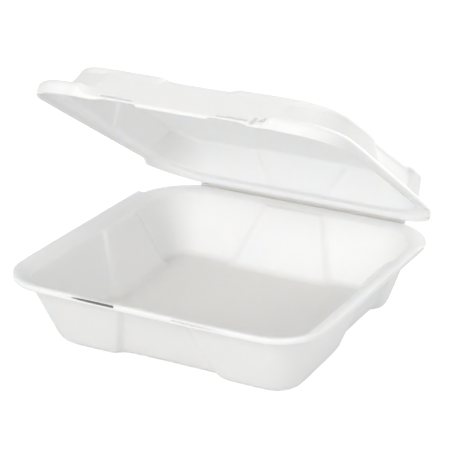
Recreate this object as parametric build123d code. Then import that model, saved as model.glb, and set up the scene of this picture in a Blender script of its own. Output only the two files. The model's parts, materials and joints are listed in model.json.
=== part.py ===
from build123d import *
from dataclasses import dataclass, fields
import math
import os

# Hinged takeout container, formed from one sheet of white foam: a tray and a lid joined by a pressed crease.
# Millimetres, +Z up, front towards -Y, origin at the middle of the tray's underside.
# The lid is modelled closed and then turned about the crease to the angle at which it stands open.

# Overall sizes
rim_width = 235.0
rim_depth = 245.4
crease_height = 47.3
rim_rise = 6.4
lid_height = 33.2
sheet = 2.4
open_angle = 32.3

# Rim of the tray: a raised lip round the front and sides, a sloping channel and a narrow ledge inside it
flange = 13.0
front_corner = 36.0
back_corner = 47.0
lip_rise = 3.45
lip_width = 3.6
lip_round = 0.9
lip_stop = 46.7
lip_ramp = 4.0
rim_edge = 0.9
channel_middle = 7.6
channel_bulge = 1.6
ledge_width = 1.3
ledge_drop = 1.8

# Walls and floor of the tray: how far the walls lean in from the rim's edge, and the floor's corners and edge
side_lean = 25.0
end_lean = 33.2
foot_corner = 20.0
foot_round = 7.0

# Panels pressed into the tray's walls, wide at the floor and narrow at the rim
panel_foot_half = 42.0
panel_rim_half = 24.0
panel_foot_depth = 6.5
panel_rim_depth = 3.5
panel_ramp = 5.5
side_panel_half = 39.0
side_panel_land = 5.0

# Catch slits in the front lip: the left one stands open, the right one is pressed shut
slit_start = 22.0
slit_length = 30.0
slit_depth = 2.6
slit_ledge = 2.0
open_slit_height = 1.5
shut_slit_height = 0.5

# Crease
crease_length = 171.0
crease_land = 4.0
crease_edge = 1.0
crease_gap = 0.2

# Lid: skirt that falls from front to back, flat top, pressed panels
lid_flange = 11.0
skirt_front = 14.5
skirt_back = 7.5
skirt_round = 5.0
top_inset = 15.0
front_top_inset = 26.4
top_corner = 25.0
top_round = 6.0
lid_panel_top_half = 37.0
lid_panel_rim_half = 23.0
lid_side_top_half = 44.0
lid_side_rim_half = 30.0
front_panel_half = 27.0
lid_panel_depth = 5.0
lid_panel_rim_depth = 1.5
seat_gap = 0.3

# Front of the lid: a flush apron that ends in a finger flap, with a latch bar and its slot to each side
apron_half = 65.0
apron_low = 9.5
flap_half = 26.0
bar_land = 5.0
bar_length = 23.0
bar_lift = 1.6
bar_height = 2.0
slot_height = 1.6

# Steps in a rounded edge, and how far a cutting shape runs past what it cuts
round_steps = 2
overrun = 5.0

crease_y = rim_depth / 2
front_y = -rim_depth / 2
foot_width = rim_width - 2 * side_lean
foot_depth = rim_depth - 2 * end_lean
lip_end = crease_y - lip_stop
lip_top = crease_height + lip_rise
lid_edge = lip_top + seat_gap
lid_top = crease_height + lid_height
rim_tilt = math.degrees(math.atan2(rim_rise, rim_depth))
crease_axis = Axis((0, crease_y, crease_height), (-1, 0, 0))


@dataclass(frozen=True)
class Outline:
    """One level of the formed sheet: a rounded square with a panel pressed into each side."""

    half_width: float
    front: float
    back: float
    front_radius: float
    back_radius: float
    front_half: float
    back_half: float
    side_half: float
    side_centre: float
    depth: float

    @property
    def ramp(self):
        """Width of the panel's slanting ends, which narrow as the panel gets shallower."""
        return panel_ramp * self.depth / panel_foot_depth if self.depth else panel_ramp

    def mix(self, other, share):
        """Outline that lies a share of the way from this one to the other."""
        values = {}
        for field in fields(self):
            here = getattr(self, field.name)
            there = getattr(other, field.name)
            values[field.name] = here + (there - here) * share
        return Outline(**values)

    def inset(self, distance, front_distance=None):
        """Outline moved inwards, panels and corners included, the front by its own distance if given."""
        spread = distance * math.tan(math.atan2(self.depth, self.ramp) / 2)
        return Outline(
            self.half_width - distance,
            self.front - (distance if front_distance is None else front_distance),
            self.back - distance,
            self.front_radius - distance,
            self.back_radius - distance,
            self.front_half + spread,
            self.back_half + spread,
            self.side_half + spread,
            self.side_centre,
            self.depth,
        )

    def wire(self, height):
        """Closed wire of the outline at a height, anticlockwise from the left end of the front."""
        wide, front, back = self.half_width, self.front, self.back
        near, far = self.front_radius, self.back_radius
        centre = self.side_centre
        runs = [
            ((near - wide, -front), (wide - near, -front), wide - near, self.front_half),
            ((wide, near - front), (wide, back - far), centre - near + front, self.side_half),
            ((wide - far, back), (far - wide, back), wide - far, self.back_half),
            ((-wide, back - far), (-wide, near - front), back - far - centre, self.side_half),
        ]
        turns = [
            ((wide - near, near - front), near, -90),
            ((wide - far, back - far), far, 0),
            ((far - wide, back - far), far, 90),
            ((near - wide, near - front), near, 180),
        ]
        edges = []
        for (start, end, middle, half), (corner, radius, angle) in zip(runs, turns):
            points = side_points(Vector(*start), Vector(*end), middle, half, self.ramp, self.depth)
            edges += [Edge.make_line(a, b) for a, b in zip(points, points[1:])]
            edges.append(CenterArc(corner, radius, angle, 90).edge())
        return Wire(edges).moved(Location((0, 0, height)))


def side_points(start, end, middle, half, ramp, depth):
    """Corners of one side: flat, ramp into the panel, panel, ramp out, flat."""
    along = (end - start).normalized()
    inward = Vector(-along.Y, along.X)
    return [
        start,
        start + along * (middle - half),
        start + along * (middle - half + ramp) + inward * depth,
        start + along * (middle + half - ramp) + inward * depth,
        start + along * (middle + half),
        end,
    ]


def quarter_round(radius):
    """Steps of a rounded edge, as pairs of inset and drop from the corner, from the wall to the flat."""
    pairs = []
    for step in range(round_steps + 1):
        turn = math.pi / 2 * step / round_steps
        pairs.append((radius * (1 - math.cos(turn)), radius * (1 - math.sin(turn))))
    return pairs


def side_profile(points, half):
    """Prism across the container with a profile drawn in Y and Z, equally far to both sides."""
    profile = Plane.YZ * make_face(Polyline(*points, close=True))
    return extrude(profile, amount=half, both=True)


def block(x_range, y_range, z_range):
    """Square block between three pairs of limits."""
    lows, highs = zip(x_range, y_range, z_range)
    size = Vector(*highs) - Vector(*lows)
    middle = (Vector(*highs) + Vector(*lows)) / 2
    return Pos(*middle) * Box(*size)


def rim_level(shape):
    """Shape drawn over a level rim, turned up about the crease to the rim's rise towards the front."""
    return shape.rotate(crease_axis, rim_tilt)


side_centre = foot_depth / 2 - foot_corner - side_panel_land - side_panel_half
wall_inset = flange - sheet
ledge_height = crease_height - ledge_drop
neck_height = ledge_height - sheet
wall_height = ledge_height + rim_rise / 2

# Outlines that carry the form: the rim, the top of the tray's wall, the floor, the lid's wall and top
rim = Outline(
    rim_width / 2, rim_depth / 2, crease_y - crease_gap, front_corner, back_corner,
    panel_rim_half, panel_rim_half, panel_rim_half, side_centre, 0,
)
neck = Outline(
    rim_width / 2 - wall_inset, rim_depth / 2 - wall_inset, crease_y - wall_inset,
    front_corner - wall_inset, back_corner - wall_inset,
    panel_rim_half, panel_rim_half, panel_rim_half, side_centre, panel_rim_depth,
)
foot = Outline(
    foot_width / 2, foot_depth / 2, foot_depth / 2, foot_corner, foot_corner,
    panel_foot_half, panel_foot_half, side_panel_half, side_centre, panel_foot_depth,
)
brow = Outline(
    rim_width / 2 - lid_flange, rim_depth / 2 - lid_flange, crease_y - lid_flange,
    front_corner - lid_flange, back_corner - lid_flange,
    front_panel_half, lid_panel_rim_half, lid_side_rim_half, side_centre, lid_panel_rim_depth,
)
crown = Outline(
    rim_width / 2 - top_inset, rim_depth / 2 - front_top_inset, crease_y - top_inset, top_corner, top_corner,
    front_panel_half, lid_panel_top_half, lid_side_top_half, side_centre, lid_panel_depth,
)


def tray_wall(height):
    """Outside of the tray's wall at a height."""
    return foot.mix(neck, height / wall_height)


def tray_outside():
    """Solid of the tray's outside: rounded foot, sloping wall, underside of the flange and outer face."""
    wires = [tray_wall(rise).inset(inset).wire(rise) for rise, inset in quarter_round(foot_round)]
    wires.append(rim_level(foot.mix(neck, neck_height / ledge_height).wire(neck_height)))
    wires.append(rim_level(rim.inset(lip_width).wire(crease_height - rim_edge)))
    wires.append(rim_level(rim.wire(crease_height - rim_edge)))
    wires += [rim_level(rim.inset(inset).wire(lip_top - drop)) for inset, drop in quarter_round(lip_round)]
    return Solid.make_loft(wires, ruled=True)


def tray_inside():
    """Solid of the space in the tray: floor, wall, ledge, bulging channel and the lip's inner edge."""
    wires = []
    for rise, inset in quarter_round(foot_round - sheet):
        height = sheet + rise
        wires.append(tray_wall(height).inset(sheet + inset).wire(height))
    levels = [
        (neck.inset(sheet), ledge_height),
        (rim.inset(flange - ledge_width), ledge_height),
        (rim.inset(channel_middle), crease_height + channel_bulge),
        (rim.inset(lip_width), lip_top),
        (rim.inset(lip_width), lip_top + overrun),
    ]
    wires += [rim_level(outline.wire(height)) for outline, height in levels]
    return Solid.make_loft(wires, ruled=True)


def build_tray():
    """Tray: shell with its lip ended before the back corners, a thin crease edge and the catch slits."""
    across = rim_width / 2 + overrun
    crease_face = crease_height - crease_gap
    half_crease = crease_length / 2
    tray = tray_outside() - tray_inside()
    lip_cut = side_profile(
        [
            (lip_end, lip_top),
            (lip_end + lip_ramp, crease_face),
            (crease_y + overrun, crease_face),
            (crease_y + overrun, lip_top + overrun),
            (lip_end, lip_top + overrun),
        ],
        across,
    )
    crease_strip = block(
        (-half_crease, half_crease),
        (crease_y - crease_land, crease_y - crease_gap),
        (crease_height - rim_edge, crease_face),
    )
    tray = tray - rim_level(lip_cut) + rim_level(crease_strip)
    slit_low = crease_height - rim_edge + slit_ledge
    for side, height in ((-1, open_slit_height), (1, shut_slit_height)):
        ends = sorted((side * slit_start, side * (slit_start + slit_length)))
        slit = block(ends, (front_y - overrun, front_y + slit_depth), (slit_low, slit_low + height))
        tray -= rim_level(slit)
    return tray


def skirt_wire(outline, drop):
    """Wire of an outline in the slanted plane of the lid's flange, a drop below its top."""
    tilt = math.degrees(math.atan2(skirt_front - skirt_back, rim_depth))
    height = crease_height + skirt_back
    pivot = Axis((0, crease_y, height), (-1, 0, 0))
    return outline.wire(height - drop).rotate(pivot, tilt)


def lid_outside():
    """Solid of the lid's outside: skirt, rounded shoulder, flange, wall, rounded edge and flat top."""
    wires = [rim.wire(crease_height + crease_gap)]
    wires += [skirt_wire(rim.inset(inset), drop) for inset, drop in quarter_round(skirt_round)]
    wires.append(skirt_wire(brow, 0))
    wires += [crown.inset(inset).wire(lid_top - drop) for inset, drop in quarter_round(top_round)]
    return Solid.make_loft(wires, ruled=True)


def wall_insets(run, rise):
    """Insets, at the wall's top and one sheet below its foot, that leave a sloping wall one sheet thick."""
    slope = math.atan2(run, rise)
    top = sheet / math.cos(slope)
    return top, top - sheet * math.tan(slope)


def lid_inside():
    """Solid of the space in the lid, one sheet inside its outside."""
    shoulder = lid_height - top_round
    side_top, side_low = wall_insets(top_inset - lid_flange, shoulder - skirt_back)
    front_top, front_low = wall_insets(front_top_inset - lid_flange, shoulder - skirt_front)
    wires = [rim.inset(sheet).wire(crease_height - overrun)]
    wires.append(skirt_wire(rim.inset(sheet), sheet))
    wires.append(skirt_wire(brow.inset(side_low, front_low), sheet))
    for inset, drop in quarter_round(top_round - sheet):
        wires.append(crown.inset(side_top + inset, front_top + inset).wire(lid_top - sheet - drop))
    return Solid.make_loft(wires, ruled=True)


def apron_line(thickness):
    """Foot and head, in Y and Z, of the apron's sloping face, a thickness inside the outer one."""
    rise = (lid_height - top_round - apron_low) / front_top_inset
    fall = thickness * math.hypot(1, rise)
    foot_point = (front_y + thickness, crease_height + apron_low + rise * thickness - fall)
    head_point = (front_y + front_top_inset, lid_top - top_round - fall)
    return foot_point, head_point


def flush_front(form, thickness, low, half):
    """Lid form whose front, between the latches, runs straight from the top's edge to the skirt."""
    (foot_y, foot_z), (head_y, head_z) = apron_line(thickness)
    above = [
        (front_y - overrun, foot_z),
        (foot_y, foot_z),
        (head_y, head_z),
        (head_y, lid_top + overrun),
        (front_y - overrun, lid_top + overrun),
    ]
    below = [
        (foot_y, low),
        (foot_y, foot_z),
        (head_y, head_z),
        (head_y + sheet, head_z),
        (head_y + sheet, low),
    ]
    return form - side_profile(above, half) + side_profile(below, half)


def build_lid():
    """Lid: shell with apron, step that clears the tray's lip, finger flap and latch bars, stood open."""
    across = rim_width / 2 + overrun
    half_crease = crease_length / 2
    outside = flush_front(lid_outside(), 0, lid_edge, apron_half)
    inside = flush_front(lid_inside(), sheet, crease_height - overrun, apron_half + sheet)
    lid = outside - inside
    lid -= side_profile(
        [
            (front_y - overrun, crease_height - overrun),
            (lip_end + lip_ramp + seat_gap, crease_height - overrun),
            (lip_end + lip_ramp + seat_gap, crease_height),
            (lip_end + seat_gap, lid_edge),
            (front_y - overrun, lid_edge),
        ],
        across,
    )
    lid += block(
        (-half_crease, half_crease),
        (crease_y - crease_land, crease_y - crease_gap),
        (crease_height + crease_gap, crease_height + crease_edge + crease_gap),
    )
    bar_low = lid_edge + bar_lift
    slot_low = bar_low + bar_height
    bar_near = flap_half + bar_land
    bar_far = bar_near + bar_length
    through = (front_y - overrun, front_y + sheet + overrun)
    for side in (-1, 1):
        under = sorted((side * flap_half, side * bar_far))
        over = sorted((side * bar_near, side * bar_far))
        lid -= block(under, through, (lid_edge - overrun, bar_low))
        lid -= block(over, through, (slot_low, slot_low + slot_height))
    return lid.rotate(crease_axis, open_angle)


os.makedirs("parts", exist_ok=True)
for name, shape in (("tray", build_tray()), ("lid", build_lid())):
    export_step(shape, os.path.join("parts", name + ".step"))
    print(name, "volume in cubic mm:", round(shape.volume))
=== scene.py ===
import json
import logging
import math
from dataclasses import dataclass, fields, replace
from enum import Enum
from typing import Any, Iterable, Optional, Union

import bmesh
import bpy
from bmesh.types import BMEdge, BMesh, BMFace, BMVert
from mathutils import Matrix, Vector


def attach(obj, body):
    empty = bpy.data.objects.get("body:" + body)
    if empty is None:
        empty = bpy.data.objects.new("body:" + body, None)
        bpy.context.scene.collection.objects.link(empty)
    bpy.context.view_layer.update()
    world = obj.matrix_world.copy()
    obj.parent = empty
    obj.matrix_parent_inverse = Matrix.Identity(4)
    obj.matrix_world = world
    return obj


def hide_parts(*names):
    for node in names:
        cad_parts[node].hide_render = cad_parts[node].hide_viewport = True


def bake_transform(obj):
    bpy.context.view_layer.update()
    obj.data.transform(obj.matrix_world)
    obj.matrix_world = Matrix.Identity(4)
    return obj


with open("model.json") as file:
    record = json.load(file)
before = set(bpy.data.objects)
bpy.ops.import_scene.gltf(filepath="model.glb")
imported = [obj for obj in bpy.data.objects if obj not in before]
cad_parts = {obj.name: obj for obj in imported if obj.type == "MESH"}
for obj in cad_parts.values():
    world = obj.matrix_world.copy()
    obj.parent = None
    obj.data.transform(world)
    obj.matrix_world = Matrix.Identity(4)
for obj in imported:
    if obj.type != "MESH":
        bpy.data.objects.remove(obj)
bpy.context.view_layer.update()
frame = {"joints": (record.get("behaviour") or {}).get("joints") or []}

LOG = logging.getLogger("takeout_container")

# Meshes are drawn in millimetres and brought to metres as they are finished.
MM = 0.001
# Vertices this near to a cutting plane count as lying on it, in millimetres.
CUT_SNAP = 0.0005


class Body(Enum):
    """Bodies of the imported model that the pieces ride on."""

    TRAY = "tray"
    LID = "lid"


class Side(Enum):
    """Left and right of the container, seen from its front."""

    LEFT = -1
    RIGHT = 1


class Skin(Enum):
    """Skins of the formed sheet, kept as the material number of a face while it is shaped."""

    OUTER = 0
    INNER = 1
    EDGE = 2
    # Faces inside the open slit, which later get a darker material as painted shade.
    SLIT = 3


class Value:
    """Socket of a shader tree that can stand in a Python sum."""

    def __init__(self, recipe: "Recipe", socket: Optional[bpy.types.NodeSocket]) -> None:
        """Wrap one socket.

        Args:
            recipe: Shader tree that new nodes go into.
            socket: Output that carries the value, if the node has one.
        """
        self.recipe = recipe
        self.socket = socket

    def _sum(self, operation: str, first: Any, second: Any) -> "Value":
        """Math node on two values.

        Args:
            operation: Name of the Math node's operation.
            first: Value or number.
            second: Value or number.

        Returns:
            The result.
        """
        return self.recipe.node("ShaderNodeMath", {"operation": operation}, [first, second])

    def __add__(self, other: Any) -> "Value":
        """Sum."""
        return self._sum("ADD", self, other)

    __radd__ = __add__

    def __mul__(self, other: Any) -> "Value":
        """Product."""
        return self._sum("MULTIPLY", self, other)

    __rmul__ = __mul__

    def __sub__(self, other: Any) -> "Value":
        """Difference."""
        return self._sum("SUBTRACT", self, other)

    def __rsub__(self, other: Any) -> "Value":
        """Difference, the other way round."""
        return self._sum("SUBTRACT", other, self)


class Recipe:
    """Shader tree of one finish, written as calls."""

    def __init__(self, tree: bpy.types.NodeTree) -> None:
        """Empty the tree.

        Args:
            tree: Node tree of a material or a world.
        """
        self.tree = tree
        self.tree.nodes.clear()

    def node(
        self,
        kind: str,
        settings: Optional[dict[str, Any]] = None,
        sockets: Union[dict[str, Any], list[Any], None] = None,
        output: Union[int, str] = 0,
    ) -> Value:
        """Add a node, give it its settings and fill its sockets.

        Args:
            kind: Node type.
            settings: Attributes that are set before the sockets.
            sockets: Numbers, colours or values, by socket name or in order.
            output: Output that the call gives back.

        Returns:
            The chosen output.
        """
        made = self.tree.nodes.new(kind)
        for name, setting in (settings or {}).items():
            setattr(made, name, setting)
        pairs = sockets.items() if isinstance(sockets, dict) else enumerate(sockets or [])
        for key, given in pairs:
            if isinstance(given, Value):
                self.tree.links.new(given.socket, made.inputs[key])
            else:
                made.inputs[key].default_value = given
        return Value(self, made.outputs[output]) if made.outputs else Value(self, None)


@dataclass(frozen=True)
class Foam:
    """Thermoformed white foam sheet: fine closed cells under a thin matte skin.

    Args:
        name: Name of the material.
        pale: Colour of the skin where it is tight.
        deep: Colour where the sheet was drawn and its cells show.
        cell: Width of a foam cell, in metres.
        grain: Size of the mottling of the skin, in metres.
        swell: Length of the slow waves of the skin, in metres.
        grain_share: Share of the mottling in the tint. The slow waves give the rest.
        roughness: Roughness of the skin, in the middle.
        spread: How far the roughness ranges with the mottling.
        ior: Index of refraction of the skin.
        cell_height: Depth of the cells in the bump, in metres.
        swell_height: Depth of the slow waves in the bump, in metres.
        glow: Share of the light that goes into the sheet.
        glow_reach: How far light spreads inside the sheet, in metres.
        glow_tint: Share of that reach for red, green and blue.
    """

    name: str = "white_foam"
    pale: tuple[float, float, float, float] = (0.968, 0.968, 0.964, 1.0)
    deep: tuple[float, float, float, float] = (0.95, 0.95, 0.944, 1.0)
    cell: float = 0.0011
    grain: float = 0.006
    swell: float = 0.05
    grain_share: float = 0.6
    roughness: float = 0.5
    spread: float = 0.12
    ior: float = 1.4
    cell_height: float = 0.00006
    swell_height: float = 0.0006
    glow: float = 1.0
    glow_reach: float = 0.0045
    glow_tint: tuple[float, float, float] = (0.8, 0.86, 1.0)

    def material(self) -> bpy.types.Material:
        """Build the node tree.

        Returns:
            The material.
        """
        made = bpy.data.materials.new(self.name)
        made.use_nodes = True
        recipe = Recipe(made.node_tree)
        spot = recipe.node("ShaderNodeTexCoord", output="Object")
        cells = recipe.node(
            "ShaderNodeTexVoronoi", {"feature": "SMOOTH_F1"}, {"Vector": spot, "Scale": 1 / self.cell}
        )
        grain = recipe.node(
            "ShaderNodeTexNoise", None, {"Vector": spot, "Scale": 1 / self.grain, "Detail": 3.0}
        )
        swell = recipe.node(
            "ShaderNodeTexNoise", None, {"Vector": spot, "Scale": 1 / self.swell, "Detail": 1.0}
        )
        tint = recipe.node(
            "ShaderNodeMix",
            {"data_type": "RGBA"},
            {0: grain * self.grain_share + swell * (1 - self.grain_share), 6: self.pale, 7: self.deep},
            output=2,
        )
        relief = swell * self.swell_height - cells * self.cell_height
        bump = recipe.node("ShaderNodeBump", None, {"Strength": 1.0, "Distance": 1.0, "Height": relief})
        skin = recipe.node(
            "ShaderNodeBsdfPrincipled",
            None,
            {
                "Base Color": tint,
                "Roughness": grain * self.spread + (self.roughness - self.spread / 2),
                "Normal": bump,
                "IOR": self.ior,
                "Subsurface Weight": self.glow,
                "Subsurface Radius": self.glow_tint,
                "Subsurface Scale": self.glow_reach,
            },
        )
        recipe.node("ShaderNodeOutputMaterial", None, {"Surface": skin})
        return made


@dataclass(frozen=True)
class Outline:
    """One level of the formed sheet: a rounded square with a panel pressed in at each side, in mm."""

    half_width: float
    front: float
    back: float
    front_radius: float
    back_radius: float
    front_half: float
    back_half: float
    side_half: float
    side_centre: float
    depth: float
    widest_ramp: float = 5.5
    deepest: float = 6.5
    soft: float = 1.6
    soft_share: float = 0.35
    corner_steps: int = 6

    @property
    def ramp(self) -> float:
        """Width of the panel's slanting ends, which narrow as the panel gets shallower."""
        return self.widest_ramp * self.depth / self.deepest if self.depth else self.widest_ramp

    def mix(self, other: "Outline", share: float) -> "Outline":
        """Outline between two.

        Args:
            other: Outline at a share of one.
            share: How far towards the other.

        Returns:
            The mixed outline.
        """
        mixed = {}
        for each in fields(self):
            here, there = getattr(self, each.name), getattr(other, each.name)
            mixed[each.name] = here if here == there else here + (there - here) * share
        return Outline(**mixed)

    def inset(self, distance: float, front_distance: Optional[float] = None) -> "Outline":
        """Outline moved inwards, panels and corners included.

        Args:
            distance: How far.
            front_distance: How far at the front, if it differs.

        Returns:
            The smaller outline.
        """
        spread = distance * math.tan(math.atan2(self.depth, self.ramp) / 2)
        return replace(
            self,
            half_width=self.half_width - distance,
            front=self.front - (distance if front_distance is None else front_distance),
            back=self.back - distance,
            front_radius=self.front_radius - distance,
            back_radius=self.back_radius - distance,
            front_half=self.front_half + spread,
            back_half=self.back_half + spread,
            side_half=self.side_half + spread,
        )

    def flat(self, distance: float, radius: float, half: float) -> "Outline":
        """Outline without panels, for the middle of a flat face.

        Args:
            distance: How far inside this one.
            radius: Radius of its corners.
            half: Half the run over which its points lie close together.

        Returns:
            The plain outline.
        """
        return Outline(
            self.half_width - distance,
            self.front - distance,
            self.back - distance,
            radius,
            radius,
            half,
            half,
            half,
            self.side_centre / 2,
            0.0,
        )

    def side_points(self, start: Vector, end: Vector, middle: float, half: float) -> list[Vector]:
        """Points of one side's panel, with each corner cut short so that it comes out soft.

        Args:
            start: Corner where the side starts.
            end: Corner where it ends.
            middle: Distance from the start to the panel's middle.
            half: Half the panel's length.

        Returns:
            Eight points in order.
        """
        along = (end - start).normalized()
        inward = Vector((-along.y, along.x))
        share = min(self.soft / math.hypot(self.ramp, self.depth), self.soft_share)
        half_run = [
            (half + self.soft, 0.0),
            (half - self.ramp * share, self.depth * share),
            (half - self.ramp * (1 - share), self.depth * (1 - share)),
            (half - self.ramp - self.soft, self.depth),
        ]
        run = [(middle - away, deep) for away, deep in half_run]
        run += [(middle + away, deep) for away, deep in reversed(half_run)]
        return [start + along * away + inward * deep for away, deep in run]

    def ring(self, bm: BMesh, height: float) -> list[BMEdge]:
        """Draw the outline as a closed loop of edges.

        Args:
            bm: Mesh to draw in.
            height: Height of the loop.

        Returns:
            The loop's edges.
        """
        wide, front, back = self.half_width, self.front, self.back
        corners = [
            Vector((-wide, -front)),
            Vector((wide, -front)),
            Vector((wide, back)),
            Vector((-wide, back)),
        ]
        middles = [wide, front + self.side_centre, wide, back - self.side_centre]
        halves = [self.front_half, self.side_half, self.back_half, self.side_half]
        verts: list[BMVert] = []
        turns: list[BMVert] = []
        for index, corner in enumerate(corners):
            turns.append(bm.verts.new((*corner, height)))
            verts.append(turns[-1])
            nearby = corners[(index + 1) % len(corners)]
            for point in self.side_points(corner, nearby, middles[index], halves[index]):
                verts.append(bm.verts.new((*point, height)))
        face = bm.faces.new(verts)
        for pair, radius in ((turns[:2], self.front_radius), (turns[2:], self.back_radius)):
            before = set(bm.faces)
            before.discard(face)
            bmesh.ops.bevel(
                bm,
                geom=pair,
                offset=radius,
                offset_type="OFFSET",
                segments=self.corner_steps,
                profile=0.5,
                affect="VERTICES",
                material=-1,
            )
            face = next(each for each in bm.faces if each not in before)
        edges = list(face.edges)
        bmesh.ops.delete(bm, geom=[face], context="FACES_ONLY")
        return edges


def loop_verts(edges: Iterable[BMEdge]) -> list[BMVert]:
    """Vertices of a loop of edges.

    Args:
        edges: The loop.

    Returns:
        Its vertices, each once.
    """
    return list({vert for edge in edges for vert in edge.verts})


def quarter_round(radius: float, steps: int) -> list[tuple[float, float]]:
    """Steps of a rounded edge, from the wall to the flat.

    Args:
        radius: Radius of the edge.
        steps: Steps in the quarter turn.

    Returns:
        Pairs of inset and drop from the corner.
    """
    turns = [math.pi / 2 * step / steps for step in range(steps + 1)]
    return [(radius * (1 - math.cos(turn)), radius * (1 - math.sin(turn))) for turn in turns]


def tip_up(bm: BMesh, verts: Iterable[BMVert], pivot: Vector, degrees: float) -> None:
    """Turn vertices about a line across the container, front upwards.

    Args:
        bm: Their mesh.
        verts: What turns.
        pivot: A point on the line.
        degrees: How far.
    """
    spin = Matrix.Rotation(math.radians(degrees), 3, Vector((-1.0, 0.0, 0.0)))
    bmesh.ops.rotate(bm, cent=pivot, matrix=spin, verts=list(verts))


@dataclass(frozen=True)
class Zone:
    """Box of space, in millimetres, in which faces of some skins are picked and cut."""

    x: tuple[float, float] = (-math.inf, math.inf)
    y: tuple[float, float] = (-math.inf, math.inf)
    z: tuple[float, float] = (-math.inf, math.inf)
    skins: tuple[Skin, ...] = tuple(Skin)

    def faces(self, bm: BMesh) -> list[BMFace]:
        """Faces whose middle lies in the zone.

        Args:
            bm: Mesh.

        Returns:
            The faces.
        """
        found = []
        for face in bm.faces:
            middle = face.calc_center_median()
            inside = all(low < at < high for at, (low, high) in zip(middle, (self.x, self.y, self.z)))
            if inside and Skin(face.material_index) in self.skins:
                found.append(face)
        return found

    def verts(self, bm: BMesh) -> set[BMVert]:
        """Vertices of the zone's faces."""
        return {vert for face in self.faces(bm) for vert in face.verts}

    def cut(self, bm: BMesh, axis: int, places: Iterable[float]) -> None:
        """Cut the zone's faces along planes across an axis, so that they can be shaped there.

        Args:
            bm: Mesh.
            axis: Number of the axis.
            places: Where the planes cross it.
        """
        across = Vector([float(index == axis) for index in range(3)])
        for at in places:
            faces = self.faces(bm)
            edges = {edge for face in faces for edge in face.edges}
            verts = {vert for face in faces for vert in face.verts}
            bmesh.ops.bisect_plane(
                bm, geom=[*verts, *edges, *faces], dist=CUT_SNAP, plane_co=across * at, plane_no=across
            )


@dataclass
class Crease:
    """Pressed fold that joins lid and tray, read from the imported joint, in millimetres."""

    y: float
    height: float
    length: float = 171.0
    land: float = 4.0
    ear: float = 1.6
    gap: float = 0.2
    web: float = 3.6
    web_lap: float = 0.5
    web_half: float = 0.35
    web_soft: float = 0.15

    @classmethod
    def from_frame(cls) -> "Crease":
        """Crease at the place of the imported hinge."""
        fold = frame["joints"][0]["pos_m"]
        return cls(y=fold[1] / MM, height=fold[2] / MM)

    @property
    def point(self) -> Vector:
        """Middle of the fold."""
        return Vector((0.0, self.y, self.height))

    def turn(self, bm: BMesh, verts: Iterable[BMVert], degrees: float) -> None:
        """Turn vertices about the fold, front upwards."""
        tip_up(bm, verts, self.point, degrees)

    def build(self, finish: bpy.types.Material, open_angle: float) -> bpy.types.Object:
        """Thin web of squeezed foam along the fold, which bends with the lid.

        Args:
            finish: Foam.
            open_angle: How far the lid stands open, in degrees.

        Returns:
            The web.
        """
        bm = bmesh.new()
        middle = self.point + Vector((0.0, self.web_lap - self.web / 2, 0.0))
        size = Matrix.Diagonal((self.length, self.web, 2 * self.web_half, 1.0))
        bmesh.ops.create_cube(bm, size=1.0, matrix=Matrix.Translation(middle) @ size)
        self.turn(bm, [vert for vert in bm.verts if vert.co.z > self.height], open_angle)
        bmesh.ops.bevel(
            bm,
            geom=list(bm.edges),
            offset=self.web_soft,
            segments=2,
            profile=0.5,
            affect="EDGES",
            material=-1,
        )
        piece = finish_piece(bm, "crease_web", finish, levels=0)
        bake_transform(piece)
        return piece


def place(name: str, data: bpy.types.ID) -> bpy.types.Object:
    """Put a mesh, a lamp or a camera into the scene.

    Args:
        name: Name of the object.
        data: What it shows.

    Returns:
        The object.
    """
    made = bpy.data.objects.new(name, data)
    bpy.context.scene.collection.objects.link(made)
    return made


def finish_piece(
    bm: BMesh,
    name: str,
    finish: bpy.types.Material,
    levels: int = 2,
    shade: Optional[bpy.types.Material] = None,
) -> bpy.types.Object:
    """Bring a mesh to metres and make it a smooth object.

    Args:
        bm: Mesh in millimetres, freed afterwards.
        name: Name of the piece.
        finish: Its material.
        levels: Levels of subdivision.
        shade: Darker material inside its slits, which paints their shade.

    Returns:
        The object.
    """
    bmesh.ops.scale(bm, vec=(MM, MM, MM), verts=bm.verts)
    for face in bm.faces:
        face.smooth = True
        # Faces inside the open slit take the second material, whose darker colour is painted shade.
        face.material_index = int(shade is not None and face.material_index == Skin.SLIT.value)
    mesh = bpy.data.meshes.new(name)
    bm.to_mesh(mesh)
    bm.free()
    for each in (finish, shade) if shade else (finish,):
        mesh.materials.append(each)
    piece = place(name, mesh)
    if levels:
        soft = piece.modifiers.new("soft_edges", "SUBSURF")
        soft.levels = levels
        soft.render_levels = levels
    return piece


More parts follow.
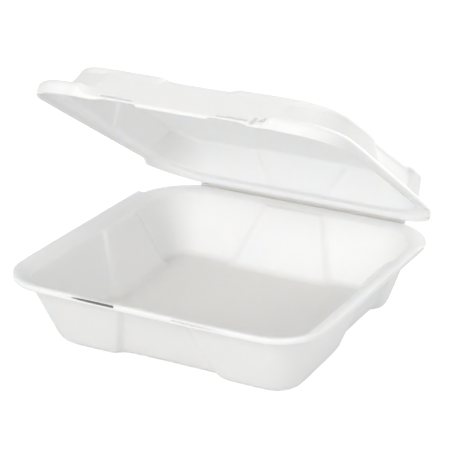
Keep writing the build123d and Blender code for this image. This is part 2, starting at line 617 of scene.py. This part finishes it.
@dataclass
class FormedSheet:
    """Sizes that tray and lid share, and the ways in which their sheet is formed, in millimetres."""

    crease: Crease
    rim_width: float = 235.0
    front_corner: float = 36.0
    back_corner: float = 47.0
    sheet: float = 2.4
    lip_rise: float = 3.45
    lip_stop: float = 46.7
    lip_ramp: float = 4.0
    seat_gap: float = 0.3
    panel_rim_half: float = 24.0
    side_centre: float = 25.5
    rim_rise: float = 6.4
    hold: float = 0.6
    bridge_rise: float = 200.0

    @property
    def rim_depth(self) -> float:
        """Depth of the rim: the crease is its back edge."""
        return 2 * self.crease.y

    @property
    def front_y(self) -> float:
        """Front edge of the rim."""
        return -self.crease.y

    @property
    def rim_tilt(self) -> float:
        """Slope of the rim, which rises to the front, in degrees."""
        return math.degrees(math.atan2(self.rim_rise, self.rim_depth))

    @property
    def lip_end(self) -> float:
        """Where the tray's lip stops before the back corners."""
        return self.crease.y - self.lip_stop

    @property
    def lip_top(self) -> float:
        """Top of the tray's lip."""
        return self.crease.height + self.lip_rise

    @property
    def rim(self) -> Outline:
        """Outer edge of the rim.

        Returns:
            Its outline.
        """
        half = self.panel_rim_half
        return Outline(
            self.rim_width / 2,
            self.rim_depth / 2,
            self.crease.y - self.crease.gap,
            self.front_corner,
            self.back_corner,
            half,
            half,
            half,
            self.side_centre,
            0.0,
        )

    def stack(self, bm: BMesh, outside: list[list[BMEdge]], inside: list[list[BMEdge]]) -> None:
        """Bridge loops into one closed wall, capped at both ends, and mark its skins.

        The loops are held far apart meanwhile, because loops at one height can be bridged crosswise.

        Args:
            bm: Their mesh.
            outside: Loops of the outer skin, up to the sheet's edge.
            inside: Loops of the inner skin, from the sheet's edge.
        """
        rings = outside + inside
        lifts = [(loop_verts(edges), index * self.bridge_rise) for index, edges in enumerate(rings)]
        for verts, rise in lifts:
            bmesh.ops.translate(bm, vec=(0, 0, rise), verts=verts)
        skins = [Skin.OUTER] * (len(outside) - 1) + [Skin.EDGE] + [Skin.INNER] * (len(inside) - 1)
        bands = [(lower + upper, skin) for lower, upper, skin in zip(rings, rings[1:], skins)]
        for edges, skin in bands:
            for face in bmesh.ops.bridge_loops(bm, edges=edges)["faces"]:
                face.material_index = skin.value
        for end, skin in ((rings[0], Skin.OUTER), (rings[-1], Skin.INNER)):
            for face in bmesh.ops.contextual_create(bm, geom=end)["faces"]:
                face.material_index = skin.value
        for verts, rise in lifts:
            bmesh.ops.translate(bm, vec=(0, 0, -rise), verts=verts)
        bmesh.ops.recalc_face_normals(bm, faces=bm.faces)

    def reach_crease(self, bm: BMesh) -> None:
        """Draw the start of the back corners out to the fold, over the crease's whole length.

        Args:
            bm: Mesh.
        """
        straight = self.rim_width / 2 - self.back_corner
        for vert in bm.verts:
            at_ear = straight + self.hold < abs(vert.co.x) < self.crease.length / 2
            if at_ear and vert.co.y > self.crease.y - self.crease.land - self.crease.ear:
                vert.co.y += self.crease.ear


@dataclass
class Tray(FormedSheet):
    """Tray: rim with lip, channel and ledge, sloping walls with pressed panels, floor and catch slits."""

    flange: float = 13.0
    lip_width: float = 3.6
    lip_round: float = 0.9
    rim_edge: float = 0.9
    channel_middle: float = 7.6
    channel_bulge: float = 1.6
    ledge_width: float = 1.3
    ledge_drop: float = 1.8
    side_lean: float = 25.0
    end_lean: float = 33.2
    foot_corner: float = 20.0
    foot_round: float = 7.0
    floor_inset: float = 26.0
    floor_corner: float = 12.0
    floor_half: float = 34.0
    panel_foot_half: float = 42.0
    side_panel_half: float = 39.0
    panel_foot_depth: float = 6.5
    panel_rim_depth: float = 3.5
    slit_start: float = 22.0
    slit_length: float = 30.0
    slit_depth: float = 3.4
    slit_ledge: float = 2.0
    open_slit_height: float = 1.5
    shut_slit_height: float = 0.5
    slit_flare: float = 0.12
    # Colours of the darker material inside the open slit: painted shade, not the foam's own colour.
    slit_shade_pale: tuple[float, float, float, float] = (0.42, 0.42, 0.41, 1.0)
    slit_shade_deep: tuple[float, float, float, float] = (0.36, 0.36, 0.35, 1.0)
    round_steps: int = 4
    wall_shares: tuple[float, ...] = (0.4, 0.7, 0.92)

    @property
    def ledge_height(self) -> float:
        """Height of the ledge inside the rim, over a level rim."""
        return self.crease.height - self.ledge_drop

    @property
    def neck(self) -> Outline:
        """Outside of the wall at the height of the ledge."""
        top = self.rim.inset(self.flange - self.sheet)
        return replace(top, back=top.back + self.crease.gap, depth=self.panel_rim_depth)

    @property
    def foot(self) -> Outline:
        """Outside of the wall on the table.

        Returns:
            Its outline.
        """
        half_depth = self.rim_depth / 2 - self.end_lean
        return Outline(
            self.rim_width / 2 - self.side_lean,
            half_depth,
            half_depth,
            self.foot_corner,
            self.foot_corner,
            self.panel_foot_half,
            self.panel_foot_half,
            self.side_panel_half,
            self.side_centre,
            self.panel_foot_depth,
        )

    def wall(self, height: float) -> Outline:
        """Outside of the wall at a height above the table."""
        return self.foot.mix(self.neck, height / (self.ledge_height + self.rim_rise / 2))

    def floor_rings(self, bm: BMesh, base: float, thickness: float) -> list[list[BMEdge]]:
        """Loops of the floor and of the rounded edge round it, from the middle outwards.

        Args:
            bm: Mesh.
            base: Height of the flat.
            thickness: How far inside the outer skin.

        Returns:
            The loops.
        """
        rings = [self.foot.flat(self.floor_inset, self.floor_corner, self.floor_half).ring(bm, base)]
        radius = self.foot_round - thickness
        for inset, rise in reversed(quarter_round(radius, self.round_steps)):
            height = base + rise
            rings.append(self.wall(height).inset(thickness + inset).ring(bm, height))
        for edges in rings:
            self.crease.turn(bm, loop_verts(edges), -self.rim_tilt)
        return rings

    def wall_rings(
        self, bm: BMesh, lower: Outline, low: float, upper: Outline, high: float
    ) -> list[list[BMEdge]]:
        """Loops between the foot's edge and the rim, from level with the table to level with the rim.

        Args:
            bm: Mesh.
            lower: Outline at the foot's edge.
            low: Its height.
            upper: Outline at the rim.
            high: Its height.

        Returns:
            The loops.
        """
        rings = []
        for share in self.wall_shares:
            edges = lower.mix(upper, share).ring(bm, low + (high - low) * share)
            self.crease.turn(bm, loop_verts(edges), -self.rim_tilt * (1 - share))
            rings.append(edges)
        return rings

    def rim_rings(self, bm: BMesh) -> list[list[BMEdge]]:
        """Loops over the rim: underside, outer face, lip, channel and ledge.

        Args:
            bm: Mesh.

        Returns:
            The loops, from the outside of the wall to its inside.
        """
        rim, base, top, ledge = self.rim, self.crease.height, self.lip_top, self.ledge_height
        low = base - self.rim_edge
        throat = self.flange - self.ledge_width
        levels = [
            (rim.inset(self.lip_width), low),
            (rim.inset(self.hold), low),
            (rim, low + self.hold / 2),
            (rim, top - self.lip_round),
            (rim.inset(self.lip_round / 3), top - self.lip_round / 3),
            (rim.inset(self.lip_round), top),
            (rim.inset(self.lip_width - self.hold), top),
            (rim.inset(self.lip_width + self.hold), top - self.hold / 2),
            (rim.inset(self.channel_middle), base + self.channel_bulge),
            (rim.inset(throat - self.hold), ledge + self.hold),
            (rim.inset(throat), ledge),
            (self.neck.inset(self.sheet - self.hold / 2), ledge),
            (self.neck.inset(self.sheet), ledge - self.hold),
        ]
        return [outline.ring(bm, height) for outline, height in levels]

    def end_lip(self, bm: BMesh) -> None:
        """Let the lip fall to the crease's level before the back corners.

        Args:
            bm: Mesh.
        """
        level = self.crease.height - self.crease.gap
        down = self.lip_end + self.lip_ramp
        places = [self.lip_end - self.hold, self.lip_end, down, down + self.hold]
        Zone(z=(level - self.sheet, math.inf)).cut(bm, 1, places)
        for vert in bm.verts:
            if vert.co.y > down - self.hold:
                vert.co.z = min(vert.co.z, level)

    def press_slits(self, bm: BMesh) -> None:
        """Press the two catch slits into the front lip, the left one open and the right one shut.

        Args:
            bm: Mesh.
        """
        low = self.crease.height - self.rim_edge + self.slit_ledge
        face_y = (-math.inf, self.front_y + self.hold / 10)
        for side, height in ((Side.LEFT, self.open_slit_height), (Side.RIGHT, self.shut_slit_height)):
            ends = sorted((side.value * self.slit_start, side.value * (self.slit_start + self.slit_length)))
            Zone(y=face_y).cut(bm, 0, ends)
            Zone(x=tuple(ends), y=face_y).cut(bm, 2, (low, low + height))
            pressed = Zone(x=tuple(ends), y=face_y, z=(low, low + height)).faces(bm)
            walls = bmesh.ops.inset_region(
                bm, faces=pressed, thickness=self.slit_flare, depth=-self.slit_depth, use_even_offset=True
            )
            # The open slit's faces are marked for the darker material that paints its shade; the shut
            # slit's stay plain foam.
            for face in pressed + walls["faces"]:
                face.material_index = (Skin.SLIT if side is Side.LEFT else Skin.EDGE).value

    def build(self, finish: bpy.types.Material) -> bpy.types.Object:
        """Form the tray.

        Args:
            finish: Foam.

        Returns:
            The tray.
        """
        bm = bmesh.new()
        neck_height = self.ledge_height - self.sheet
        outer_neck = self.foot.mix(self.neck, neck_height / self.ledge_height)
        outer_foot = self.wall(self.foot_round)
        outside = self.floor_rings(bm, 0.0, 0.0)
        outside += self.wall_rings(bm, outer_foot, self.foot_round, outer_neck, neck_height)
        outside.append(outer_neck.ring(bm, neck_height))
        rim = self.rim_rings(bm)
        inside = self.floor_rings(bm, self.sheet, self.sheet)
        inner_foot, inner_neck = outer_foot.inset(self.sheet), self.neck.inset(self.sheet)
        inside += self.wall_rings(bm, inner_foot, self.foot_round, inner_neck, self.ledge_height)
        self.stack(bm, outside + rim, list(reversed(inside)))
        self.end_lip(bm)
        self.reach_crease(bm)
        self.press_slits(bm)
        self.crease.turn(bm, bm.verts, self.rim_tilt)
        # Dark foam without glow for the faces inside the open slit: painted shade.
        slit_shade_foam = Foam(name="slit_painted_shade", pale=self.slit_shade_pale, deep=self.slit_shade_deep, glow=0.0)
        piece = finish_piece(bm, "tray_shell", finish, shade=slit_shade_foam.material())
        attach(piece, Body.TRAY.value)
        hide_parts("tray")
        return piece


@dataclass
class Lid(FormedSheet):
    """Lid: skirt, shoulder, walls with pressed panels, flat top, flush front with flap and latch bars."""

    open_angle: float = 32.3
    lid_height: float = 33.2
    lid_flange: float = 11.0
    skirt_front: float = 14.5
    skirt_back: float = 7.5
    skirt_round: float = 5.0
    top_inset: float = 15.0
    front_top_inset: float = 26.4
    top_corner: float = 25.0
    brow_corner: float = 44.0
    crown_corner: float = 32.0
    top_round: float = 6.0
    panel_top_half: float = 37.0
    panel_low_half: float = 23.0
    side_top_half: float = 44.0
    side_low_half: float = 30.0
    front_panel_half: float = 27.0
    panel_depth: float = 5.0
    panel_low_depth: float = 1.5
    top_flat_inset: float = 24.0
    top_flat_corner: float = 14.0
    top_flat_half: float = 34.0
    apron_half: float = 65.0
    apron_low: float = 6.2
    apron_edge: float = 2.4
    apron_step: float = 5.0
    notch_back: float = 5.0
    flap_half: float = 26.0
    bar_land: float = 5.0
    bar_length: float = 23.0
    bar_lift: float = 1.6
    bar_height: float = 2.0
    slot_height: float = 1.1
    swell_run: float = 9.0
    swell_out: float = 1.7
    swell_cuts: tuple[float, ...] = (0.35, 1.0)
    hook_gaps: tuple[tuple[float, float, float, float], ...] = (
        (55.8, 59.4, 5.8, 12.0),
        (61.2, 64.8, 8.4, 12.0),
    )
    hook_taper: float = 0.3
    round_steps: int = 4
    wall_shares: tuple[float, ...] = (0.12, 0.5, 0.88)

    @property
    def edge(self) -> float:
        """Lower edge of the skirt, over a level rim."""
        return self.lip_top + self.seat_gap

    @property
    def top(self) -> float:
        """Flat top, over a level rim."""
        return self.crease.height + self.lid_height

    @property
    def skirt_tilt(self) -> float:
        """Slope of the flange, which rises to the front, in degrees."""
        return math.degrees(math.atan2(self.skirt_front - self.skirt_back, self.rim_depth))

    @property
    def latch_depths(self) -> tuple[float, float]:
        """Depths within which the front is cut for latches and gaps."""
        return -math.inf, self.front_y + self.front_top_inset / 3

    @property
    def brow(self) -> Outline:
        """Foot of the lid's wall.

        Returns:
            Its outline.
        """
        low = self.rim.inset(self.lid_flange)
        return replace(
            low,
            back=low.back + self.crease.gap,
            front_radius=self.brow_corner,
            front_half=self.front_panel_half,
            back_half=self.panel_low_half,
            side_half=self.side_low_half,
            depth=self.panel_low_depth,
        )

    @property
    def crown(self) -> Outline:
        """Edge of the lid's top.

        Returns:
            Its outline.
        """
        return replace(
            self.brow,
            half_width=self.rim_width / 2 - self.top_inset,
            front=self.rim_depth / 2 - self.front_top_inset,
            back=self.crease.y - self.top_inset,
            front_radius=self.crown_corner,
            back_radius=self.top_corner,
            back_half=self.panel_top_half,
            side_half=self.side_top_half,
            depth=self.panel_depth,
        )

    def skirt_ring(self, bm: BMesh, outline: Outline, drop: float) -> list[BMEdge]:
        """Loop in the slanted plane of the flange.

        Args:
            bm: Mesh.
            outline: Its outline.
            drop: Distance below the plane.

        Returns:
            The loop.
        """
        height = self.crease.height + self.skirt_back
        edges = outline.ring(bm, height - drop)
        tip_up(bm, loop_verts(edges), Vector((0.0, self.crease.y, height)), self.skirt_tilt)
        return edges

    def wall_insets(self, run: float, rise: float) -> tuple[float, float]:
        """Insets that leave a sloping wall one sheet thick.

        Args:
            run: How far the wall leans in.
            rise: Its height.

        Returns:
            The insets at its top and one sheet below its foot.
        """
        slope = math.atan2(run, rise)
        high = self.sheet / math.cos(slope)
        return high, high - self.sheet * math.tan(slope)

    def skin(self, bm: BMesh, thickness: float) -> list[list[BMEdge]]:
        """Loops of one skin of the lid, from its lower edge to the middle of its top.

        Args:
            bm: Mesh.
            thickness: Zero for the outer skin, the sheet for the inner one.

        Returns:
            The loops.
        """
        rim, shoulder = self.rim, self.lid_height - self.top_round
        high = low = front_high = front_low = 0.0
        if thickness:
            high, low = self.wall_insets(self.top_inset - self.lid_flange, shoulder - self.skirt_back)
            front_high, front_low = self.wall_insets(
                self.front_top_inset - self.lid_flange, shoulder - self.skirt_front
            )
        brow = self.brow.inset(low, front_low)
        crown = self.crown.inset(high, front_high)
        hold = self.hold
        rings = [
            rim.inset(hold / 2 if not thickness else thickness - hold / 2).ring(bm, self.edge),
            rim.inset(thickness).ring(bm, self.edge + hold / 2),
        ]
        radius = self.skirt_round - thickness
        for inset, drop in quarter_round(radius, self.round_steps):
            rings.append(self.skirt_ring(bm, rim.inset(thickness + inset), thickness + drop))
        rings.append(self.skirt_ring(bm, brow.inset(-2 * hold), thickness))
        foot = self.skirt_ring(bm, brow, thickness - 2 * hold)
        rings.append(foot)
        middle = sum((vert.co.z for vert in loop_verts(foot)), 0.0) / len(loop_verts(foot))
        head = self.top - thickness - (self.top_round - thickness)
        for share in self.wall_shares:
            centre = Vector((0.0, 0.0, middle + (head - middle) * share))
            edges = brow.mix(crown, share).ring(bm, centre.z)
            tip_up(bm, loop_verts(edges), centre, self.skirt_tilt * (1 - share))
            rings.append(edges)
        for inset, drop in quarter_round(self.top_round - thickness, self.round_steps):
            rings.append(crown.inset(inset).ring(bm, self.top - thickness - drop))
        flat = crown.flat(self.top_flat_inset, self.top_flat_corner, self.top_flat_half)
        rings.append(flat.ring(bm, self.top - thickness))
        return rings

    def apron_height(self, y: float, thickness: float) -> float:
        """Height of the flush front at a depth.

        Args:
            y: Depth.
            thickness: How far inside the outer skin.

        Returns:
            The height.
        """
        slope = (self.lid_height - self.apron_edge - self.apron_low) / self.front_top_inset
        fall = thickness * math.hypot(1, slope)
        return self.crease.height + self.apron_low + slope * (y - self.front_y) - fall

    def notch_height(self, y: float, thickness: float) -> float:
        """Height of the gentle notch in the middle of the flush front's upper edge.

        Args:
            y: Depth.
            thickness: How far inside the outer skin.

        Returns:
            The height, up to the flat top.
        """
        start = self.front_y + self.front_top_inset + thickness - self.notch_back
        low = self.apron_height(start, thickness)
        run = self.notch_back + self.panel_depth + self.top_round
        high = self.top - thickness
        return min(low + (high - low) * max(y - start, 0.0) / run, high)

    def drop_back(self, bm: BMesh) -> None:
        """Let the lower edge fall to the crease behind the end of the tray's lip.

        Args:
            bm: Mesh.
        """
        start = self.lip_end + 2 * self.seat_gap
        down = start + self.lip_ramp
        low = Zone(y=(0.0, math.inf), z=(-math.inf, self.edge + self.skirt_round))
        low.cut(bm, 1, (start - self.hold, start, down, down + self.hold))
        fall = self.edge - self.crease.height - self.crease.gap
        border = {edge for vert in Zone(skins=(Skin.EDGE,)).verts(bm) for edge in vert.link_edges}
        lowest = set(loop_verts(border))
        for vert in bm.verts:
            drop = fall if vert.co.y > down - self.hold else 0.0
            vert.co.z = vert.co.z - drop if vert in lowest else max(vert.co.z, self.edge - drop + self.hold)

    def flush_front(self, bm: BMesh, skin: Skin, thickness: float) -> None:
        """Bring the front between the beads into one slope from the top's edge down to the skirt.

        Args:
            bm: Mesh.
            skin: Skin that is shaped.
            thickness: How far inside the outer skin it lies.
        """
        half = self.apron_half + thickness
        head = self.front_y + self.front_top_inset + thickness
        reach = (-math.inf, head + self.panel_depth + self.top_round + self.hold)
        outer = half + self.apron_step
        wide = Zone(x=(-outer - half, outer + half), y=reach, skins=(skin,))
        wide.cut(bm, 0, (-outer, -half, half, outer))
        for vert in Zone(x=(-half, half), y=reach, skins=(skin,)).verts(bm):
            if vert.co.z < self.edge + self.hold:
                continue
            line = self.apron_height(min(vert.co.y, head), thickness)
            if abs(vert.co.x) < self.front_panel_half - self.panel_depth / 2:
                line = min(line, self.notch_height(vert.co.y, thickness))
                vert.co.z = line
            else:
                vert.co.z = line if vert.co.y < head else max(vert.co.z, line)

    def swell_beads(self, bm: BMesh) -> None:
        """Let each bead end in a rounded swelling beside the flush front.

        Args:
            bm: Mesh.
        """
        near = self.apron_half + self.apron_step
        front = (-math.inf, self.front_y + self.skirt_round)
        for side in Side:
            run = sorted((side.value * self.apron_half, side.value * (near + 2 * self.swell_run)))
            bead = Zone(x=tuple(run), y=front)
            bead.cut(bm, 0, [side.value * (near + self.swell_run * share) for share in self.swell_cuts])
            for vert in bead.verts(bm):
                if near - self.hold < abs(vert.co.x) < near + self.swell_run - self.hold:
                    vert.co.y -= self.swell_out

    def cut_latches(self, bm: BMesh) -> None:
        """Raise the edge beside the finger flap and open the slot over each latch bar.

        Args:
            bm: Mesh.
        """
        near = self.flap_half + self.bar_land
        far = near + self.bar_length
        low = self.edge + self.bar_lift + self.bar_height
        front = self.latch_depths
        below = (-math.inf, self.crease.height + self.apron_low + self.hold)
        steps = (self.flap_half, self.flap_half + self.hold, near, far, far + self.hold)
        for side in Side:
            Zone(y=front, z=below).cut(bm, 0, [side.value * step for step in steps])
        for vert in Zone(x=(-far, far), y=front).verts(bm):
            beside = self.flap_half + self.hold / 2 < abs(vert.co.x) < far + self.hold / 2
            if beside and vert.co.z < self.edge + self.hold:
                vert.co.z += self.bar_lift
            elif beside:
                vert.co.z = max(vert.co.z, self.edge + self.bar_lift + self.hold)
        for side in Side:
            run = tuple(sorted((side.value * near, side.value * far)))
            self.open_gap(bm, run, (low, low + self.slot_height))

    def open_gap(
        self, bm: BMesh, run: tuple[float, float], rise: tuple[float, float]
    ) -> list[BMVert]:
        """Cut an opening through both skins of the front.

        Args:
            bm: Mesh.
            run: Where it starts and ends along the front.
            rise: Its lower and upper height.

        Returns:
            The vertices round the opening.
        """
        front = self.latch_depths
        skins = (Skin.OUTER, Skin.INNER)
        room = Zone(x=(run[0] - self.bar_length, run[1] + self.bar_length), y=front, skins=skins)
        room.cut(bm, 0, run)
        Zone(x=run, y=front, skins=skins).cut(bm, 2, rise)
        bmesh.ops.delete(bm, geom=Zone(x=run, y=front, z=rise, skins=skins).faces(bm), context="FACES")
        edges = [edge for edge in bm.edges if edge.is_boundary]
        bmesh.ops.bridge_loops(bm, edges=edges)
        return loop_verts(edges)

    def tear_hooks(self, bm: BMesh) -> None:
        """Open the two die-cut gaps beside the right catch, narrower at the top.

        Args:
            bm: Mesh.
        """
        for start, end, low, high in self.hook_gaps:
            rise = (self.crease.height + low, self.crease.height + high)
            middle = (start + end) / 2
            for vert in self.open_gap(bm, (start, end), rise):
                if vert.co.z > rise[1] - self.hold:
                    vert.co.x = middle + (vert.co.x - middle) * self.hook_taper

    def build(self, finish: bpy.types.Material) -> bpy.types.Object:
        """Form the lid and stand it open.

        Args:
            finish: Foam.

        Returns:
            The lid.
        """
        bm = bmesh.new()
        outside = self.skin(bm, 0.0)
        inside = self.skin(bm, self.sheet)
        self.stack(bm, list(reversed(outside)), inside)
        self.drop_back(bm)
        self.reach_crease(bm)
        self.flush_front(bm, Skin.OUTER, 0.0)
        self.flush_front(bm, Skin.INNER, self.sheet)
        self.cut_latches(bm)
        self.tear_hooks(bm)
        self.swell_beads(bm)
        self.crease.turn(bm, bm.verts, self.open_angle)
        piece = finish_piece(bm, "lid_shell", finish)
        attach(piece, Body.LID.value)
        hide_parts("lid")
        return piece


@dataclass(frozen=True)
class Lamp:
    """Square soft box that faces the object.

    Args:
        name: Name of the lamp.
        stand: Where it stands, in metres.
        power: Watts.
        size: Width of its face, in metres.
    """

    name: str
    stand: tuple[float, float, float]
    power: float
    size: float = 1.0

    def build(self, aim: Vector) -> bpy.types.Object:
        """Stand the lamp up.

        Args:
            aim: Point that it faces.

        Returns:
            The lamp.
        """
        data = bpy.data.lights.new(self.name, "AREA")
        data.size = self.size
        data.energy = self.power
        made = place(self.name, data)
        made.location = self.stand
        made.rotation_euler = (aim - Vector(self.stand)).to_track_quat("-Z", "Y").to_euler()
        return made


@dataclass
class Studio:
    """Pale floor, soft light from the front and from behind, and the camera, in metres and degrees."""

    azimuth: float = 27.26
    elevation: float = 23.76
    distance: float = 1.31078
    aim_height: float = 0.04
    yaw: float = 0.10
    pitch: float = -1.35
    roll: float = 0.13
    lens: float = 147.75
    sensor: float = 36.0
    floor_half: float = 6.0
    floor_colour: tuple[float, float, float, float] = (0.72, 0.72, 0.72, 1.0)
    floor_lift: float = 0.71
    sky: float = 0.63
    lamps: tuple[Lamp, ...] = (
        Lamp("key", (-0.65, -2.1, 1.35), 18.2, size=0.8),
        Lamp("fill", (0.6, -2.4, 0.35), 11.5),
        Lamp("side", (2.0, -0.6, 1.3), 7.5),
        Lamp("back", (0.3, 2.2, 0.5), 14.0),
        Lamp("high", (0.2, 1.7, 1.4), 10.0),
    )

    @property
    def aim(self) -> Vector:
        """Point that the lamps face and the camera is set out from."""
        return Vector((0.0, 0.0, self.aim_height))

    def direction(self, azimuth: float, elevation: float) -> Vector:
        """Unit vector from the object towards a place round it.

        Args:
            azimuth: Degrees round from the front, to the right.
            elevation: Degrees above the horizon.

        Returns:
            The vector.
        """
        a, e = math.radians(azimuth), math.radians(elevation)
        return Vector((math.sin(a) * math.cos(e), -math.cos(a) * math.cos(e), math.sin(e)))

    def camera(self) -> bpy.types.Object:
        """Camera where the photograph was taken from.

        Returns:
            The camera.
        """
        data = bpy.data.cameras.new("camera")
        data.lens = self.lens
        data.sensor_width = self.sensor
        made = place("camera", data)
        back = self.direction(self.azimuth + self.yaw, self.elevation + self.pitch)
        turn = math.radians(self.azimuth + self.yaw)
        right = Vector((math.cos(turn), math.sin(turn), 0.0))
        up = back.cross(right)
        axes = Matrix((right, up, back)).transposed()
        axes = axes @ Matrix.Rotation(math.radians(self.roll), 3, "Z")
        stand = self.aim + self.direction(self.azimuth, self.elevation) * self.distance
        made.matrix_world = Matrix.Translation(stand) @ axes.to_4x4()
        bpy.context.scene.camera = made
        return made

    def floor(self) -> bpy.types.Object:
        """White floor that keeps the object's shadow.

        Returns:
            The floor.
        """
        bm = bmesh.new()
        bmesh.ops.create_grid(bm, x_segments=1, y_segments=1, size=self.floor_half)
        mesh = bpy.data.meshes.new("floor")
        bm.to_mesh(mesh)
        bm.free()
        finish = bpy.data.materials.new("white_floor")
        finish.use_nodes = True
        recipe = Recipe(finish.node_tree)
        matte = recipe.node("ShaderNodeBsdfDiffuse", None, {"Color": self.floor_colour})
        seen = self.seen(recipe)
        lift = recipe.node("ShaderNodeEmission", None, {"Strength": self.floor_lift})
        lifted = recipe.node("ShaderNodeAddShader", None, [matte, lift])
        mixed = recipe.node("ShaderNodeMixShader", None, [seen, matte, lifted])
        recipe.node("ShaderNodeOutputMaterial", None, {"Surface": mixed})
        mesh.materials.append(finish)
        made = place("floor", mesh)
        return made

    def seen(self, recipe: Recipe) -> Value:
        """Whether a ray shows the background: from the camera, or by gloss or glass.

        Args:
            recipe: Shader tree that asks.

        Returns:
            One for such a ray, zero for any other.
        """
        path = "ShaderNodeLightPath"
        camera = recipe.node(path, output="Is Camera Ray")
        glossy = recipe.node(path, output="Is Glossy Ray")
        through = recipe.node(path, output="Is Transmission Ray")
        return camera + glossy + through

    def world(self) -> None:
        """Even white surroundings, at a plain level for light and white where they are seen."""
        made = bpy.data.worlds.new("surroundings")
        made.use_nodes = True
        recipe = Recipe(made.node_tree)
        light = recipe.node("ShaderNodeBackground", None, {"Strength": self.sky})
        white = recipe.node("ShaderNodeBackground", None, {"Strength": 1.0})
        mixed = recipe.node("ShaderNodeMixShader", None, [self.seen(recipe), light, white])
        recipe.node("ShaderNodeOutputWorld", None, {"Surface": mixed})
        bpy.context.scene.world = made

    def build(self) -> None:
        """Set the stage."""
        self.camera()
        self.floor()
        self.world()
        for lamp in self.lamps:
            lamp.build(self.aim)
        bpy.context.scene.view_settings.view_transform = "Standard"


def main() -> None:
    """Build the container and its stage."""
    logging.basicConfig(level=logging.INFO, format="%(name)s: %(message)s")
    foam = Foam().material()
    crease = Crease.from_frame()
    lid = Lid(crease)
    for piece in (Tray(crease).build(foam), lid.build(foam), crease.build(foam, lid.open_angle)):
        LOG.info("%s: %d faces before softening", piece.name, len(piece.data.polygons))
    Studio().build()


if __name__ == "__main__":
    main()
